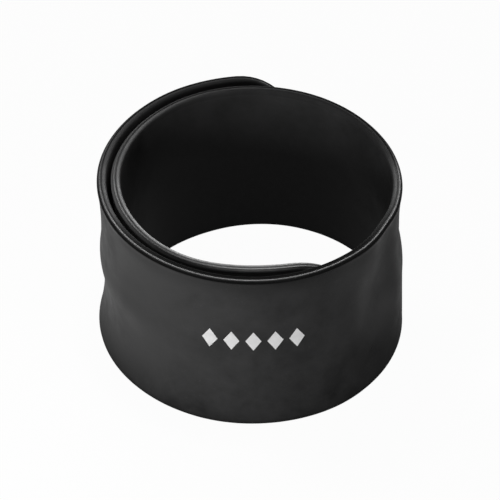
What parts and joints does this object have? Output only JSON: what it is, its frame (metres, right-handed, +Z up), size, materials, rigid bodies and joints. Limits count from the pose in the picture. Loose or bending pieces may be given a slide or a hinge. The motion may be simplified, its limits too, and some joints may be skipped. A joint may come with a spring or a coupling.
{
  "type": "slap bracelet",
  "caption": "Slap bracelet: a flat silicone band over a strip of spring steel, coiled shut and standing on its lower edge.",
  "frame": {"origin": "centre of the bounding box, on the plane that the lower edge stands on", "axes": "+Z up along the axis of the coil, which is the way the wrist goes through; -Y towards the front, where the inner end lies under the outer turn"},
  "size_m": [0.0504, 0.0515, 0.03],
  "materials": {
    "silicone": "matt black silicone",
    "spring_steel": "bright rolled strip"
  },
  "bodies": {
    "root": {"sleeve": "silicone", "spring": "spring_steel"}
  },
  "joints": []
}
